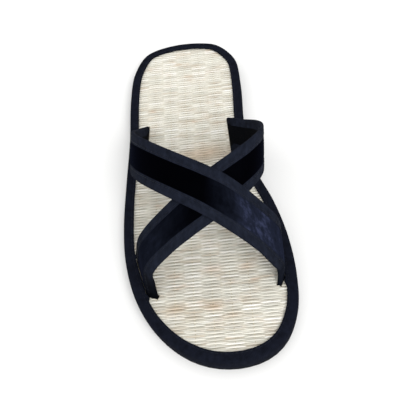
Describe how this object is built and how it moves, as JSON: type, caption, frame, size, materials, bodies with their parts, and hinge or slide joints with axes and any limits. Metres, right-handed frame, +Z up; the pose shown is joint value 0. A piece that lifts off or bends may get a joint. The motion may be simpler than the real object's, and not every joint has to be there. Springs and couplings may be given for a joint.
{
  "type": "crossed-strap house slipper",
  "caption": "Flat right-foot house slipper with a woven rush footbed, a tape-bound edge and crossed velvet straps over the instep, open at toe and heel.",
  "frame": {"origin": "on the floor, at the middle of the slipper's length and width", "axes": "+Z up from the floor, +Y from the toe to the heel, +X to the big-toe side"},
  "size_m": [0.0957, 0.2524, 0.0694],
  "materials": {
    "sole_rubber": "matt black foam rubber with a fine embossed grain",
    "rush_mat": "cream woven rush straws, satin, with tan and brown stains",
    "binding_tape": "matt blue-black woven tape, stitched along its inner edge",
    "strap_velvet": "black velvet with a blue sheen, edged with matt tape"
  },
  "bodies": {
    "root": {"outsole": "sole_rubber", "mat": "rush_mat", "binding": "binding_tape", "upper": "strap_velvet"}
  },
  "joints": []
}
